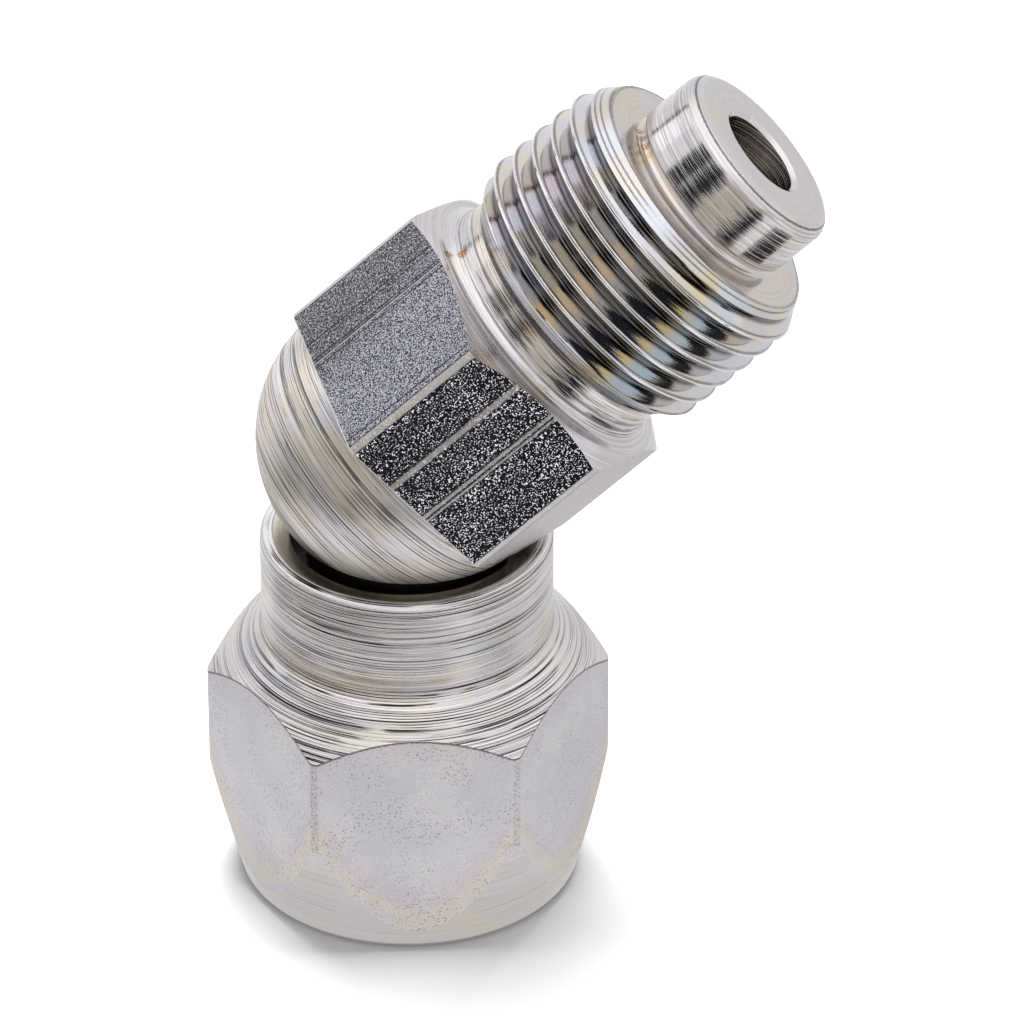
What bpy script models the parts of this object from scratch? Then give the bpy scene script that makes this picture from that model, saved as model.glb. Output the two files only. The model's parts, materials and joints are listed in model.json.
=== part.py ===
"""Swivel adapter: a hexagon swivel nut standing on its threaded end, and a one-piece
elbow turned from hexagon bar that turns with its hollow spindle about the nut's axis."""

import math

import bmesh
import bpy
from mathutils import Matrix, Vector

MM = 0.001

# Clearances
GAP = 0.3 * MM            # between two pieces that touch or nearly touch
RUNNING = 0.3 * MM        # radial play of the spindle in the nut
THREAD_FIT = 0.25 * MM    # radial play left where one piece is screwed into another
OVERCUT = 2.0 * MM        # how far a cutter reaches past the face it opens

# Main thread, 7/8 inch with 14 turns to the inch
THREAD_RADIUS = 11.06 * MM
THREAD_PITCH = 1.8143 * MM
THREAD_DEPTH = 0.6134 * THREAD_PITCH
THREAD_CREST = THREAD_PITCH / 8    # flat left on top of each turn
THREAD_ROOT = THREAD_PITCH / 6     # flat at the bottom of the groove
THREAD_SKIM = 0.05 * MM            # taken off the turned barrel as the thread is cut

# Elbow. Lengths run along its own axis from the point where it crosses the nut's axis.
ELBOW_LEAN = math.radians(47)
ELBOW_FLATS = 22.225 * MM
ELBOW_CORNER = 0.9 * MM           # rounding of the bar's corners
ELBOW_HEX_TURN = math.radians(-3)
BALL_RADIUS = 11.05 * MM
BALL_OFFSET = 0.5 * MM
HEX_BACK = 1.1 * MM
HEX_LENGTH = 12.45 * MM
HEX_FACE_RADIUS = 11.0 * MM       # flat ring left inside the chamfer of the hexagon
HEX_CHAMFER = math.radians(30)
NECK_RADIUS = 9.57 * MM
NECK_FILLET = 1.2 * MM
NECK_LENGTH = 2.7 * MM
THREAD_LEAD_IN = 1.9 * MM         # slope from the neck up to the thread
THREAD_LENGTH = 12.63 * MM        # from the neck to the shoulder
SHOULDER_RADIUS = 9.71 * MM
SHOULDER_CHAMFER = 2.0 * MM
NOSE_RADIUS = 7.1 * MM
NOSE_LENGTH = 5.42 * MM
NOSE_EDGE = 1.0 * MM
NOSE_GROOVE = 0.45 * MM           # depth of the undercut at the nose's root
NOSE_GROOVE_WIDTH = 0.9 * MM
NOSE_RELIEF = 0.1 * MM            # from the nose's side to the flat face in front of the thread
BORE_RADIUS = 3.25 * MM
BORE_CHAMFER = 0.3 * MM
SPOT_FACE_DROP = 6.7 * MM         # from the crossing point down to the flat underside

# Nut. Heights run up from its lower end.
NUT_FLATS = 25.4 * MM
NUT_CORNER = 1.0 * MM
NUT_TURN = math.radians(1.5)      # of its hexagon against the elbow's plane
NUT_HEIGHT = 28.15 * MM
NUT_WALL = 1.64 * MM              # from the bottom of the nut's thread to its flats
SKIRT_SETBACK = 0.45 * MM         # of the cone's lower end inside the flats
SKIRT_SLOPE = math.radians(14.25)
SKIRT_EDGE = 0.7 * MM
SHOULDER_CORNER_HEIGHT = 16.3 * MM
COLLAR_FILLET = 0.8 * MM
RIM_EDGE = 0.55 * MM
RIDGE_INSET = 0.76 * MM           # from the collar's outside
RIDGE_WIDTH = 0.16 * MM
RIDGE_STEP = 0.06 * MM
DISH_DEPTH = 0.25 * MM            # fall from the ridge to the edge of the mouth
MOUTH_ROOM = 1.2 * MM             # round the spindle's journal
RIM_WIDTH = 2.12 * MM             # from the mouth to the collar's outside
MOUTH_DEPTH = 4.4 * MM
LIP_THICKNESS = 8.6 * MM
PORT_LEAD_IN = 0.85 * MM
PORT_GROOVE_WIDTH = 2.2 * MM
PORT_GROOVE_DEPTH = 0.25 * MM     # past the thread's outer radius

# Spindle and the rings on it
TAIL_RADIUS = 4.9 * MM            # screwed into the elbow's port
TAIL_LENGTH = 5.7 * MM
TAIL_CHAMFER = 0.5 * MM
FLANGE_PLAY = 0.35 * MM           # radial room for the flange to pass the nut's thread
FLANGE_LEDGE = 2.4 * MM           # width of the flange round the journal
FLANGE_THICKNESS = 4.2 * MM
FLANGE_CHAMFER = 0.4 * MM
KEY_FLATS = 7.0 * MM
KEY_DEPTH = 4.6 * MM
WASHER_THICKNESS = 1.0 * MM
O_RING_SECTION = 1.2 * MM
BACKUP_THICKNESS = 0.8 * MM
RING_GAP = 0.2 * MM               # radial and axial room round the rings in their gland
SPOT_FACE_GAP = 0.75 * MM         # elbow's flat underside above the nut's rim
GASKET_WIDTH = 3.4 * MM
GASKET_THICKNESS = 1.35 * MM
GASKET_POCKET = 1.2 * MM

SEGMENTS = 64
THREAD_STEPS = 40                 # in one turn of the thread


def arc(cx, cy, radius, start, end, count):
    """Points on an arc, with its ends, from the start to the end angle in degrees."""
    points = []
    for i in range(count + 1):
        angle = math.radians(start + (end - start) * i / count)
        points.append((cx + radius * math.cos(angle), cy + radius * math.sin(angle)))
    return points


def make_object(name, bm):
    mesh = bpy.data.meshes.new(name)
    bmesh.ops.recalc_face_normals(bm, faces=bm.faces)
    bm.to_mesh(mesh)
    bm.free()
    obj = bpy.data.objects.new(name, mesh)
    bpy.context.scene.collection.objects.link(obj)
    return obj


def turned(name, profile, segments=SEGMENTS):
    """Solid turned about Z from (radius, height) points; the ends lie on the axis."""
    bm = bmesh.new()
    verts = [bm.verts.new((r, 0.0, z)) for r, z in profile]
    edges = [bm.edges.new(pair) for pair in zip(verts, verts[1:])]
    bmesh.ops.spin(bm, geom=verts + edges, cent=(0, 0, 0), axis=(0, 0, 1),
                   angle=math.tau, steps=segments, use_merge=True)
    bmesh.ops.remove_doubles(bm, verts=bm.verts, dist=1e-7)
    return make_object(name, bm)


def turned_ring(name, profile, segments=SEGMENTS):
    """Ring turned about Z from a closed outline of (radius, height) points."""
    return turned(name, profile + profile[:1], segments)


def thread_cutter(name, radius, low, high):
    """Ring from low to high whose inside has the shape of a right-hand 60 degree thread."""
    outline = []
    for turn in range(math.floor(low / THREAD_PITCH) - 1, math.ceil(high / THREAD_PITCH) + 1):
        crest, groove = turn * THREAD_PITCH, (turn + 0.5) * THREAD_PITCH
        outline += [(radius, crest - THREAD_CREST / 2), (radius, crest + THREAD_CREST / 2),
                    (radius - THREAD_DEPTH, groove - THREAD_ROOT / 2),
                    (radius - THREAD_DEPTH, groove + THREAD_ROOT / 2)]
    bm = bmesh.new()
    verts = [bm.verts.new((r, 0.0, z)) for r, z in outline]
    edges = [bm.edges.new(pair) for pair in zip(verts, verts[1:])]
    bmesh.ops.spin(bm, geom=verts + edges, cent=(0, 0, 0), axis=(0, 0, 1),
                   dvec=(0, 0, THREAD_PITCH / THREAD_STEPS), angle=math.tau, steps=THREAD_STEPS)
    bmesh.ops.remove_doubles(bm, verts=bm.verts, dist=1e-6)
    for height, top in ((low, False), (high, True)):
        bmesh.ops.bisect_plane(bm, geom=bm.verts[:] + bm.edges[:] + bm.faces[:], dist=1e-7,
                               plane_co=(0, 0, height), plane_no=(0, 0, 1),
                               clear_outer=top, clear_inner=not top)
    rims = [e for e in bm.edges if e.is_boundary]
    spread = bmesh.ops.extrude_edge_only(bm, edges=rims)['geom']
    for vert in [g for g in spread if isinstance(g, bmesh.types.BMVert)]:
        vert.co.xy *= (radius + OVERCUT) / vert.co.xy.length
    bmesh.ops.bridge_loops(bm, edges=[e for e in bm.edges if e.is_boundary])
    return make_object(name, bm)


def prism(name, flats, low, high, corner, turn):
    """Hexagon bar along Z with rounded corners; a corner points along +X before the turn."""
    bm = bmesh.new()
    bmesh.ops.create_cone(bm, cap_ends=True, segments=6, radius1=flats / math.sqrt(3),
                          radius2=flats / math.sqrt(3), depth=high - low)
    bmesh.ops.translate(bm, verts=bm.verts, vec=(0, 0, (low + high) / 2))
    upright = [e for e in bm.edges if abs(e.verts[0].co.z - e.verts[1].co.z) > 1e-6]
    first = min(upright, key=lambda e: math.atan2(e.verts[0].co.y, e.verts[0].co.x) % math.tau)
    lead = math.atan2(first.verts[0].co.y, first.verts[0].co.x)
    if corner:
        bmesh.ops.bevel(bm, geom=upright, offset=corner * math.tan(math.radians(30)),
                        affect='EDGES', segments=3, profile=0.5)
    bmesh.ops.rotate(bm, verts=bm.verts, cent=(0, 0, 0), matrix=Matrix.Rotation(turn - lead, 3, 'Z'))
    return make_object(name, bm)


def cut(obj, tool, operation='DIFFERENCE'):
    """Boolean of a hidden tool object, with the exact solver."""
    tool.hide_render = True
    tool.display_type = 'WIRE'
    modifier = obj.modifiers.new(operation.title() + ' ' + tool.name, 'BOOLEAN')
    modifier.operation = operation
    modifier.object = tool
    modifier.solver = 'EXACT'


def finish(obj, material, angle=30):
    obj.data.materials.append(material)
    obj.data.shade_smooth()
    obj.data.set_sharp_from_angle(angle=math.radians(angle))


def material(name, colour, roughness, metallic):
    mat = bpy.data.materials.new(name)
    mat.use_nodes = True
    shader = mat.node_tree.nodes['Principled BSDF']
    shader.inputs['Base Color'].default_value = (*colour, 1.0)
    shader.inputs['Roughness'].default_value = roughness
    shader.inputs['Metallic'].default_value = metallic
    return mat


# Heights that follow from the sizes above
HEX_FRONT = HEX_BACK + HEX_LENGTH
THREAD_BACK = HEX_FRONT + NECK_LENGTH
SHOULDER = THREAD_BACK + THREAD_LENGTH
NOSE_END = SHOULDER + NOSE_LENGTH
RIM = NUT_HEIGHT
MOUTH_FLOOR = RIM - MOUTH_DEPTH
LIP_UNDERSIDE = MOUTH_FLOOR - LIP_THICKNESS
SPOT_FACE = RIM + SPOT_FACE_GAP
JOURNAL_TOP = SPOT_FACE - GAP
FLANGE_TOP = LIP_UNDERSIDE - 2 * GAP - WASHER_THICKNESS
FLANGE_BOTTOM = FLANGE_TOP - FLANGE_THICKNESS
GLAND_INNER = TAIL_RADIUS + RING_GAP
GLAND_RADIUS = GLAND_INNER + O_RING_SECTION + RING_GAP
BACKUP_LOW = JOURNAL_TOP + RING_GAP
O_RING_HEIGHT = BACKUP_LOW + BACKUP_THICKNESS + RING_GAP + O_RING_SECTION / 2
GLAND_TOP = O_RING_HEIGHT + O_RING_SECTION / 2 + RING_GAP
TAIL_TOP = JOURNAL_TOP + TAIL_LENGTH
SKIRT_RADIUS = NUT_FLATS / 2 - SKIRT_SETBACK
PORT_RADIUS = NUT_FLATS / 2 - NUT_WALL
PORT_ROOT = PORT_RADIUS - THREAD_DEPTH
FLANGE_RADIUS = PORT_ROOT - FLANGE_PLAY
JOURNAL_RADIUS = FLANGE_RADIUS - FLANGE_LEDGE
MOUTH_RADIUS = JOURNAL_RADIUS + MOUTH_ROOM
COLLAR_RADIUS = MOUTH_RADIUS + RIM_WIDTH
RIDGE_RADIUS = COLLAR_RADIUS - RIDGE_INSET
CROSSING_HEIGHT = SPOT_FACE + SPOT_FACE_DROP


def nut_axis_x():
    """Place of the nut's axis that centres the adapter's outline on the origin."""
    reach = (NOSE_END - NOSE_EDGE) * math.sin(ELBOW_LEAN)
    reach += (NOSE_RADIUS - NOSE_EDGE) * math.cos(ELBOW_LEAN) + NOSE_EDGE
    corner_centre = (NUT_FLATS / 2 - NUT_CORNER) / math.cos(math.radians(30))
    back = corner_centre * math.cos(NUT_TURN) + NUT_CORNER
    return -(reach - back) / 2


AXIS_X = nut_axis_x()
NUT_FRAME = Matrix.Translation((AXIS_X, 0, 0))
ELBOW_FRAME = Matrix.Translation((AXIS_X, 0, CROSSING_HEIGHT)) @ Matrix.Rotation(ELBOW_LEAN, 4, 'Y')


def build_nut():
    """Hexagon bar turned to a collar, a shoulder and a tapered skirt, then bored from both ends."""
    corner_radius = NUT_FLATS / math.sqrt(3)
    skirt_top = (corner_radius - SKIRT_RADIUS) / math.tan(SKIRT_SLOPE)
    shoulder_rise = corner_radius - COLLAR_RADIUS
    fillet = COLLAR_FILLET
    foot = SKIRT_RADIUS - SKIRT_EDGE * (1 - math.sin(SKIRT_SLOPE)) / math.cos(SKIRT_SLOPE)
    fillet_centre = SHOULDER_CORNER_HEIGHT + shoulder_rise + fillet * math.tan(math.radians(22.5))
    outline = [(0, 0)]
    outline += arc(foot, SKIRT_EDGE, SKIRT_EDGE, -90, -math.degrees(SKIRT_SLOPE), 3)
    outline += [(corner_radius, skirt_top), (corner_radius, SHOULDER_CORNER_HEIGHT)]
    outline += arc(COLLAR_RADIUS + fillet, fillet_centre, fillet, -135, -180, 3)
    outline += arc(COLLAR_RADIUS - RIM_EDGE, RIM - RIM_EDGE, RIM_EDGE, 0, 80, 3)
    outline += [(RIDGE_RADIUS, RIM), (RIDGE_RADIUS - RIDGE_WIDTH, RIM), (0, RIM)]
    nut = prism('swivel_nut', NUT_FLATS, -OVERCUT, RIM + OVERCUT, NUT_CORNER, NUT_TURN)
    cut(nut, turned('nut_envelope', outline), 'INTERSECT')

    lip_bore = JOURNAL_RADIUS + RUNNING
    groove = PORT_RADIUS + PORT_GROOVE_DEPTH
    groove_top = FLANGE_BOTTOM + PORT_GROOVE_WIDTH / 2
    inlet = PORT_ROOT + PORT_LEAD_IN
    bore = [(0, -OVERCUT), (inlet + OVERCUT, -OVERCUT), (inlet, 0), (PORT_ROOT, PORT_LEAD_IN),
            (PORT_ROOT, groove_top - PORT_GROOVE_WIDTH), (groove, groove_top - 0.8 * PORT_GROOVE_WIDTH),
            (groove, groove_top - 0.2 * PORT_GROOVE_WIDTH), (PORT_ROOT, groove_top),
            (PORT_ROOT, LIP_UNDERSIDE), (lip_bore, LIP_UNDERSIDE), (lip_bore, MOUTH_FLOOR),
            (MOUTH_RADIUS, MOUTH_FLOOR), (MOUTH_RADIUS, RIM - DISH_DEPTH),
            (RIDGE_RADIUS - RIDGE_WIDTH, RIM - RIDGE_STEP),
            (RIDGE_RADIUS - RIDGE_WIDTH, RIM + OVERCUT), (0, RIM + OVERCUT)]
    cut(nut, turned('nut_bore', bore))
    for obj in (nut, bpy.data.objects['nut_envelope'], bpy.data.objects['nut_bore']):
        obj.matrix_world = NUT_FRAME
    return nut


def elbow_outline():
    """Half section of the turned elbow, from the ball's back to the nose."""
    bar = ELBOW_FLATS / math.sqrt(3)
    ball_edge = math.degrees(math.acos((HEX_BACK - BALL_OFFSET) / BALL_RADIUS))
    outline = [(math.sin(math.radians(a)) * BALL_RADIUS, BALL_OFFSET + math.cos(math.radians(a)) * BALL_RADIUS)
               for a in [180 - i * (180 - ball_edge) / 15 for i in range(16)]]
    outline[0] = (0, BALL_OFFSET - BALL_RADIUS)
    outline += [(bar, HEX_BACK), (bar, HEX_FRONT - (bar - HEX_FACE_RADIUS) * math.tan(HEX_CHAMFER)),
                (HEX_FACE_RADIUS, HEX_FRONT)]
    outline += arc(NECK_RADIUS + NECK_FILLET, HEX_FRONT + NECK_FILLET, NECK_FILLET, -90, -180, 4)
    barrel = THREAD_RADIUS + THREAD_SKIM
    outline += [(NECK_RADIUS, THREAD_BACK), (barrel, THREAD_BACK + THREAD_LEAD_IN),
                (barrel, SHOULDER - SHOULDER_CHAMFER), (SHOULDER_RADIUS, SHOULDER)]
    outline += [(NOSE_RADIUS + NOSE_RELIEF, SHOULDER),
                (NOSE_RADIUS - NOSE_GROOVE, SHOULDER + 0.25 * NOSE_GROOVE_WIDTH),
                (NOSE_RADIUS - NOSE_GROOVE, SHOULDER + 0.75 * NOSE_GROOVE_WIDTH),
                (NOSE_RADIUS, SHOULDER + NOSE_GROOVE_WIDTH)]
    outline += arc(NOSE_RADIUS - NOSE_EDGE, NOSE_END - NOSE_EDGE, NOSE_EDGE, 0, 90, 5)
    return outline + [(0, NOSE_END)]


def build_elbow():
    """Hexagon bar turned to its outline, threaded, bored from the nose and ported underneath."""
    ball_back = BALL_OFFSET - BALL_RADIUS
    elbow = prism('elbow_body', ELBOW_FLATS, ball_back - OVERCUT, NOSE_END + OVERCUT, ELBOW_CORNER,
                  ELBOW_HEX_TURN + math.pi)
    envelope = turned('elbow_envelope', elbow_outline())
    cut(elbow, envelope, 'INTERSECT')
    thread = thread_cutter('elbow_thread', THREAD_RADIUS, THREAD_BACK - NECK_LENGTH / 2, SHOULDER + OVERCUT)
    cut(elbow, thread)
    bore = [(0, -BORE_RADIUS)]
    bore += arc(0, 0, BORE_RADIUS, -90, 0, 6)[1:]
    bore += [(BORE_RADIUS, NOSE_END - BORE_CHAMFER), (BORE_RADIUS + BORE_CHAMFER, NOSE_END),
             (BORE_RADIUS + BORE_CHAMFER + OVERCUT, NOSE_END + OVERCUT), (0, NOSE_END + OVERCUT)]
    passage = turned('elbow_bore', bore, 48)
    for obj in (elbow, envelope, thread, passage):
        obj.matrix_world = ELBOW_FRAME
    cut(elbow, passage)

    reach = SPOT_FACE - BALL_RADIUS
    port_radius = TAIL_RADIUS + THREAD_FIT
    port = [(0, reach), (BALL_RADIUS + OVERCUT, reach), (BALL_RADIUS + OVERCUT, SPOT_FACE),
            (GLAND_RADIUS, SPOT_FACE), (GLAND_RADIUS, GLAND_TOP), (port_radius, GLAND_TOP),
            (port_radius, TAIL_TOP + GAP), (BORE_RADIUS, TAIL_TOP + GAP + (port_radius - BORE_RADIUS) / 2),
            (BORE_RADIUS, CROSSING_HEIGHT), (0, CROSSING_HEIGHT)]
    socket = turned('elbow_port', port, 48)
    socket.matrix_world = NUT_FRAME
    cut(elbow, socket)
    return elbow


def build_spindle():
    """Hollow spindle: screwed tail, journal, flange with a gasket pocket and a key socket."""
    c = FLANGE_CHAMFER
    gasket_inner = KEY_FLATS / math.sqrt(3) + GAP
    pocket_outer = gasket_inner + GASKET_WIDTH + GAP
    outline = [(0, FLANGE_BOTTOM), (FLANGE_RADIUS - c, FLANGE_BOTTOM), (FLANGE_RADIUS, FLANGE_BOTTOM + c),
               (FLANGE_RADIUS, FLANGE_TOP - c), (FLANGE_RADIUS - c, FLANGE_TOP), (JOURNAL_RADIUS, FLANGE_TOP),
               (JOURNAL_RADIUS, JOURNAL_TOP), (TAIL_RADIUS, JOURNAL_TOP), (TAIL_RADIUS, TAIL_TOP - TAIL_CHAMFER),
               (TAIL_RADIUS - TAIL_CHAMFER, TAIL_TOP), (0, TAIL_TOP)]
    spindle = turned('spindle', outline, 48)
    bore = [(0, FLANGE_BOTTOM - OVERCUT), (pocket_outer, FLANGE_BOTTOM - OVERCUT),
            (pocket_outer, FLANGE_BOTTOM + GASKET_POCKET), (BORE_RADIUS, FLANGE_BOTTOM + GASKET_POCKET),
            (BORE_RADIUS, TAIL_TOP + OVERCUT), (0, TAIL_TOP + OVERCUT)]
    cut(spindle, turned('spindle_bore', bore, 48))
    socket = prism('spindle_key', KEY_FLATS, FLANGE_BOTTOM - OVERCUT, FLANGE_BOTTOM + KEY_DEPTH, 0, 0)
    cut(spindle, socket)

    washer = turned_ring('thrust_washer', [
        (JOURNAL_RADIUS + RUNNING, FLANGE_TOP + GAP), (FLANGE_RADIUS, FLANGE_TOP + GAP),
        (FLANGE_RADIUS, FLANGE_TOP + GAP + WASHER_THICKNESS),
        (JOURNAL_RADIUS + RUNNING, FLANGE_TOP + GAP + WASHER_THICKNESS)], 48)
    backup = turned_ring('backup_ring', [
        (GLAND_INNER, BACKUP_LOW), (GLAND_INNER + O_RING_SECTION, BACKUP_LOW),
        (GLAND_INNER + O_RING_SECTION, BACKUP_LOW + BACKUP_THICKNESS),
        (GLAND_INNER, BACKUP_LOW + BACKUP_THICKNESS)], 48)
    half = O_RING_SECTION / 2
    o_ring = turned_ring('spindle_o_ring', arc(GLAND_INNER + half, O_RING_HEIGHT, half, 0, 315, 7), 48)
    gasket_low = FLANGE_BOTTOM + GASKET_POCKET - GAP - GASKET_THICKNESS
    gasket = turned_ring('seat_gasket', [
        (gasket_inner, gasket_low), (gasket_inner + GASKET_WIDTH, gasket_low),
        (gasket_inner + GASKET_WIDTH, gasket_low + GASKET_THICKNESS),
        (gasket_inner, gasket_low + GASKET_THICKNESS)], 48)
    for obj in (spindle, bpy.data.objects['spindle_bore'], socket, washer, backup, o_ring, gasket):
        obj.matrix_world = NUT_FRAME
    return spindle, washer, backup, o_ring, gasket


for old in list(bpy.data.objects):
    bpy.data.objects.remove(old, do_unlink=True)

zinc = material('zinc_plated_steel', (0.66, 0.65, 0.68), 0.32, 1.0)
bar_zinc = material('zinc_on_bar_stock', (0.48, 0.48, 0.52), 0.42, 1.0)
plain_steel = material('plain_steel', (0.55, 0.55, 0.56), 0.28, 1.0)
bronze = material('sintered_bronze', (0.56, 0.40, 0.22), 0.45, 1.0)
rubber = material('black_rubber', (0.02, 0.02, 0.02), 0.6, 0.0)
white_plastic = material('white_plastic', (0.82, 0.81, 0.77), 0.5, 0.0)

finish(build_nut(), zinc)
elbow_body = build_elbow()
finish(elbow_body, bar_zinc)
spindle, thrust_washer, backup_ring, spindle_o_ring, seat_gasket = build_spindle()
finish(spindle, plain_steel)
finish(thrust_washer, bronze)
finish(backup_ring, white_plastic)
finish(spindle_o_ring, rubber, 60)
finish(seat_gasket, white_plastic)

# The elbow and all that turns with it hang on one empty on the nut's axis
swivel = bpy.data.objects.new('swivel_axis', None)
bpy.context.scene.collection.objects.link(swivel)
swivel.matrix_world = Matrix.Translation(Vector((AXIS_X, 0, CROSSING_HEIGHT)))
bpy.context.view_layer.update()
for piece in (elbow_body, spindle, thrust_washer, backup_ring, spindle_o_ring, seat_gasket):
    placed = piece.matrix_world.copy()
    piece.parent = swivel
    piece.matrix_parent_inverse = swivel.matrix_world.inverted()
    piece.matrix_world = placed
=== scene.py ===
"""Looks of the swivel adapter: a zinc-plated hexagon nut under an elbow turned from hexagon bar.

Sizes are in millimetres and become metres where a mesh is finished. The nut is made about
its own axis and the elbow about its own, and both are then put where the frame says.
"""

import json
import math

import bmesh
import bpy
from mathutils import Matrix, Vector


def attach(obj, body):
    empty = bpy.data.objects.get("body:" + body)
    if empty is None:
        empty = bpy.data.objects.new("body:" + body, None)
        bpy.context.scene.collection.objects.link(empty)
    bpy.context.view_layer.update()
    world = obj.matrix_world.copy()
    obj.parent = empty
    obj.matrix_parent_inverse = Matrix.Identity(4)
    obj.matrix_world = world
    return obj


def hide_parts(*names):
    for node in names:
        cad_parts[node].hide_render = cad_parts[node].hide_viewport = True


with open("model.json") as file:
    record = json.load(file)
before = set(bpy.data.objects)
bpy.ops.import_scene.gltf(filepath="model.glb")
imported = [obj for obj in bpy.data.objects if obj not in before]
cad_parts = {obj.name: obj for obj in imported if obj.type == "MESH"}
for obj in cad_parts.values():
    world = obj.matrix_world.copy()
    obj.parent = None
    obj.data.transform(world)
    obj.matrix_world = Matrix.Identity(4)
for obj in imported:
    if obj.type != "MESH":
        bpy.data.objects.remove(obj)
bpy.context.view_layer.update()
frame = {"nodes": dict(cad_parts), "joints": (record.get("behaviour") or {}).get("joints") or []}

MM = 0.001
TURN_STEPS = 256
THREAD_STEPS = 240

# Threads, 7/8 inch with 14 turns to the inch
THREAD_RADIUS = 11.06
THREAD_PITCH = 1.8143
THREAD_DEPTH = 0.6134 * THREAD_PITCH
CREST_HALF = THREAD_PITCH / 16
ROOT_HALF = THREAD_PITCH / 12

# Elbow. Lengths run along its own axis from the point where it crosses the nut's axis.
LEAN = math.radians(47)
ELBOW_FLATS = 22.225
ELBOW_CORNER = 0.9
ELBOW_TURN = math.radians(177)
BALL_RADIUS = 11.05
BALL_OFFSET = 0.5
HEX_BACK = 1.1
HEX_FRONT = 13.55
HEX_FACE_RADIUS = 11.0
HEX_CHAMFER = math.radians(30)
NECK_RADIUS = 9.57
NECK_FILLET = 1.2
THREAD_BACK = 16.25
THREAD_LEAD_IN = 1.9
SHOULDER = 28.88
SHOULDER_RADIUS = 9.71
SHOULDER_CHAMFER = 2.0
NOSE_RADIUS = 7.1
NOSE_END = 34.3
NOSE_EDGE = 1.0
NOSE_GROOVE = 0.45
NOSE_GROOVE_WIDTH = 0.9
BORE_RADIUS = 3.25
BORE_CHAMFER = 0.3

# Nut. Heights run up from its lower end.
NUT_FLATS = 25.4
NUT_CORNER = 1.0
NUT_TURN = math.radians(1.5)
RIM = 28.15
SKIRT_RADIUS = 12.25
SKIRT_SLOPE = math.radians(14.25)
SKIRT_EDGE = 0.7
SHOULDER_CORNER = 16.3
COLLAR_RADIUS = 10.52
COLLAR_FILLET = 0.8
RIM_EDGE = 0.55
RIDGE_RADIUS = 9.76
RIDGE_WIDTH = 0.16
RIDGE_STEP = 0.06
DISH_DEPTH = 0.25
MOUTH_RADIUS = 8.4
MOUTH_FLOOR = 23.75
LIP_RADIUS = 7.5
LIP_UNDERSIDE = 15.15
PORT_ROOT = THREAD_RADIUS - THREAD_DEPTH
PORT_SINK = 11.2
PORT_THREAD_TOP = 8.25
PORT_GROOVE = 11.31
PORT_GROOVE_TOP = 10.45

# Port in the elbow's flat underside, as heights above the nut's lower end
SPOT_FACE = 28.9
GLAND_RADIUS = 6.5
GLAND_TOP = 31.2
TAIL_PORT_RADIUS = 5.15
TAIL_PORT_TOP = 34.6

# Camera, found by fitting the adapter's outline in the photograph
FOCAL_PIXELS = 8917.7
PICTURE_PIXELS = 1024
SENSOR_WIDTH = 36.0
CAMERA_ELEVATION = math.radians(33.02)
CAMERA_TURN = math.radians(-1.23)
CAMERA_ROLL = math.radians(-0.17)
CAMERA_DISTANCE = 636.4
LOOK_AT = Vector((7.53, 0.0, 29.41))

# White paper: how far its own glow helps the lamp, near the adapter and far away
PAPER_GLOW = 0.08
FAR_GLOW = 0.70
FLOOR_REACH = 3000

# Light: the room's share, and one lamp overhead, in metres and watts
ROOM_LEVEL = 0.40
LAMP_PLACE = (0.02, 0.145, 0.50)
LAMP_SIZE = (0.33, 0.37)
LAMP_POWER = 7.0

# Radii at which the flats of the two hexagons end and their rounded corners begin
ELBOW_CORNER_START = 12.63
NUT_CORNER_START = 14.44

# Cutting lines: their slant on flat faces, and the length that their strengths are given over
LINE_LEAN = 0.83
KEEN_REACH = 50.0

joint_place = Vector(frame["joints"][0]["pos_m"]) / MM
AXIS_X = joint_place.x
CROSSING = joint_place.z
NUT_FRAME = Matrix.Translation((AXIS_X, 0, 0))
ELBOW_FRAME = Matrix.Translation((AXIS_X, 0, CROSSING)) @ Matrix.Rotation(LEAN, 4, "Y")


def arc(cx, cy, radius, start, end, count):
    """Points on an arc, with its ends, from the start to the end angle in degrees."""
    points = []
    for i in range(count + 1):
        angle = math.radians(start + (end - start) * i / count)
        points.append((cx + radius * math.cos(angle), cy + radius * math.sin(angle)))
    return points


def spun(profile, steps=TURN_STEPS, rise=0.0, closed=True):
    """Surface turned about Z from (radius, height) points, climbing by rise in each turn."""
    bm = bmesh.new()
    verts = [bm.verts.new((r, 0.0, z)) for r, z in profile]
    edges = [bm.edges.new(pair) for pair in zip(verts, verts[1:])]
    bmesh.ops.spin(bm, geom=verts + edges, cent=(0, 0, 0), axis=(0, 0, 1),
                   dvec=(0, 0, rise / steps), angle=math.tau, steps=steps, use_merge=closed)
    bmesh.ops.remove_doubles(bm, verts=bm.verts, dist=1e-3)
    bmesh.ops.recalc_face_normals(bm, faces=bm.faces)
    return bm


def hexagon_bar(flats, low, high, corner, turn):
    """Hexagon bar along Z with rounded corners; a corner points along +X before the turn."""
    bm = bmesh.new()
    reach = flats / math.sqrt(3)
    bmesh.ops.create_cone(bm, cap_ends=True, segments=6, radius1=reach, radius2=reach,
                          depth=high - low)
    bmesh.ops.translate(bm, verts=bm.verts, vec=(0, 0, (low + high) / 2))
    upright = [e for e in bm.edges if abs(e.verts[0].co.z - e.verts[1].co.z) > 1]
    lead = math.atan2(upright[0].verts[0].co.y, upright[0].verts[0].co.x)
    bmesh.ops.bevel(bm, geom=upright, offset=corner * math.tan(math.radians(30)), affect="EDGES",
                    segments=8, profile=0.5, material=-1)
    bmesh.ops.rotate(bm, verts=bm.verts, cent=(0, 0, 0),
                     matrix=Matrix.Rotation(turn - lead, 3, "Z"))
    return bm


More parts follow.
